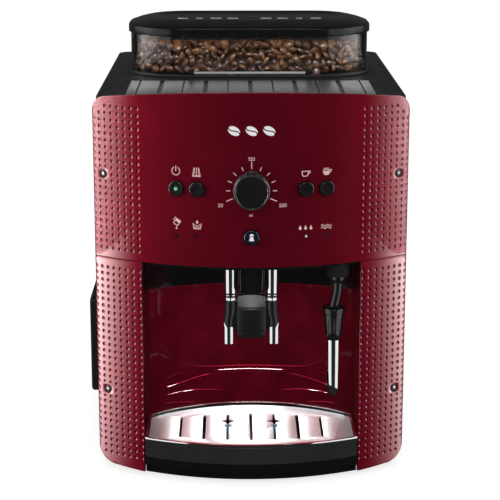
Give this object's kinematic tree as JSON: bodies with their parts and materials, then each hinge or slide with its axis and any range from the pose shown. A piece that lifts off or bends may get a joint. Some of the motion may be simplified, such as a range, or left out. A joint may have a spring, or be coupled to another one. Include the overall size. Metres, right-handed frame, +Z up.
{
  "type": "bean-to-cup coffee machine",
  "caption": "Countertop bean-to-cup coffee machine with a curved dimpled red front, bean hopper, volume dial, twin coffee outlet, steam wand and drip tray.",
  "frame": {"origin": "centre of the bounding box in X and Y, at the height of the worktop under the feet", "axes": "+X to the right of somebody facing the front, +Y from the front to the back, +Z up"},
  "size_m": [0.2578, 0.3352, 0.3483],
  "materials": {
    "red_gloss": "gloss",
    "black_satin": "satin",
    "black_gloss": "gloss",
    "navy_gloss": "gloss",
    "chrome": "polished",
    "brushed": "brushed",
    "steel": "satin",
    "deck_grey": "satin",
    "clear": "gloss",
    "smoke": "gloss",
    "beans": "satin",
    "rubber": "matte",
    "lens": "gloss",
    "board": "satin",
    "aluminium": "cast",
    "frame_white": "satin",
    "float_blue": "gloss",
    "piston_amber": "satin",
    "hose": "satin"
  },
  "bodies": {
    "casing": {"base_pan": "black_satin", "rubber_feet": "rubber", "left_side_panel": "black_satin", "right_side_panel": "black_satin", "rear_panel": "black_satin", "top_deck": "black_satin", "cup_grid": "deck_grey", "front_panel": "red_gloss", "front_housing": "red_gloss", "bay_liner": "red_gloss", "bay_ceiling": "black_gloss", "front_screws": "steel", "base_screws": "steel", "indicator_lights": "lens", "control_board": "board", "dial_encoder": "aluminium", "spout_column": "black_gloss", "guide_tubes": "chrome", "wand_socket": "black_satin", "hopper_collar": "black_satin", "hopper": "clear", "coffee_beans": "beans", "inner_frame": "frame_white", "grinder_housing": "aluminium", "grinder_motor": "steel", "grounds_chute": "black_satin", "brew_chamber": "frame_white", "brew_motor": "steel", "thermoblock": "aluminium", "water_pump": "steel", "power_board": "board", "hoses": "hose", "cord_gland": "rubber"},
    "dial": {"dial_knob": "black_satin", "dial_shaft": "steel"},
    "power_key": {"power_button": "black_gloss"},
    "steam_key": {"steam_button": "black_gloss"},
    "one_cup_key": {"one_cup_button": "black_gloss"},
    "two_cup_key": {"two_cup_button": "black_gloss"},
    "service_key": {"service_button": "navy_gloss"},
    "outlet": {"spout_slider": "black_gloss", "spout_nozzles": "chrome"},
    "wand": {"wand_arm": "black_gloss", "wand_grip": "black_gloss", "wand_sleeve": "chrome", "wand_tip": "black_satin"},
    "tray": {"drip_tray": "black_satin"},
    "grid": {"drip_grid": "brushed"},
    "left_float": {"float_left": "float_blue"},
    "right_float": {"float_right": "float_blue"},
    "drawer": {"grounds_drawer": "black_satin", "drawer_front": "black_satin"},
    "adjuster": {"grind_adjuster": "black_satin"},
    "lid": {"hopper_lid": "black_gloss", "lid_seal": "rubber"},
    "tank": {"water_tank": "smoke"},
    "tank_flap": {"tank_lid": "black_satin"},
    "burr": {"grinder_burr": "steel"},
    "piston": {"brew_piston": "piston_amber"},
    "screw": {"brew_screw": "steel"}
  },
  "joints": [
    {"name": "dial_turn", "type": "hinge", "parent": "casing", "child": "dial", "pos_m": [0.00645, -0.15764, 0.237], "axis": [0, -1, 0], "range_deg": [-114, 114]},
    {"name": "power_press", "type": "slide", "parent": "casing", "child": "power_key", "axis": [0.2923, 0.9563, 0], "range_m": [0, 0.0012], "stiffness_N_per_m": 1500},
    {"name": "steam_press", "type": "slide", "parent": "casing", "child": "steam_key", "axis": [0.2113, 0.9774, 0], "range_m": [0, 0.0012], "stiffness_N_per_m": 1500},
    {"name": "one_cup_press", "type": "slide", "parent": "casing", "child": "one_cup_key", "axis": [-0.2113, 0.9774, 0], "range_m": [0, 0.0012], "stiffness_N_per_m": 1500},
    {"name": "two_cup_press", "type": "slide", "parent": "casing", "child": "two_cup_key", "axis": [-0.2923, 0.9563, 0], "range_m": [0, 0.0012], "stiffness_N_per_m": 1500},
    {"name": "service_press", "type": "slide", "parent": "casing", "child": "service_key", "axis": [0, 1, 0], "range_m": [0, 0.0012], "stiffness_N_per_m": 1500},
    {"name": "outlet_height", "type": "slide", "parent": "casing", "child": "outlet", "axis": [0, 0, 1], "range_m": [-0.036, 0]},
    {"name": "wand_swing", "type": "hinge", "parent": "casing", "child": "wand", "pos_m": [0.07395, -0.13236, 0.163], "axis": [-1, 0, 0], "range_deg": [-8, 28]},
    {"name": "tray_slide", "type": "slide", "parent": "casing", "child": "tray", "axis": [0, -1, 0], "range_m": [0, 0.12]},
    {"name": "grid_lift", "type": "slide", "parent": "tray", "child": "grid", "axis": [0, 0, 1], "range_m": [0, 0.028]},
    {"name": "left_float_rise", "type": "slide", "parent": "tray", "child": "left_float", "axis": [0, 0, 1], "range_m": [0, 0.012]},
    {"name": "right_float_rise", "type": "slide", "parent": "tray", "child": "right_float", "axis": [0, 0, 1], "range_m": [0, 0.012]},
    {"name": "drawer_pull", "type": "slide", "parent": "casing", "child": "drawer", "axis": [-1, 0, 0], "range_m": [0, 0.115]},
    {"name": "grind_setting", "type": "hinge", "parent": "casing", "child": "adjuster", "pos_m": [0.06845, 0.04364, 0.3], "axis": [0, 0, 1], "range_deg": [-60, 60]},
    {"name": "lid_lift", "type": "slide", "parent": "casing", "child": "lid", "axis": [0, 0, 1], "range_m": [0, 0.08]},
    {"name": "tank_lift", "type": "slide", "parent": "casing", "child": "tank", "axis": [0, 0, 1], "range_m": [0, 0.17]},
    {"name": "tank_flap_open", "type": "hinge", "parent": "tank", "child": "tank_flap", "pos_m": [0.00645, 0.16064, 0.299], "axis": [-1, 0, 0], "range_deg": [0, 85]},
    {"name": "burr_spin", "type": "hinge", "parent": "casing", "child": "burr", "pos_m": [0.00645, 0.04364, 0.262], "axis": [0, 0, 1], "continuous": true},
    {"name": "screw_turn", "type": "hinge", "parent": "casing", "child": "screw", "pos_m": [-0.07554, 0.00562, 0.17], "axis": [0, 0, 1], "range_deg": [0, 2660]},
    {"name": "piston_travel", "type": "slide", "parent": "casing", "child": "piston", "axis": [0, 0, 1], "range_m": [-0.034, 0]}
  ],
  "couplings": [
    {"joint": "piston_travel", "follows": "screw_turn", "m_per_rad": -0.00073211}
  ]
}
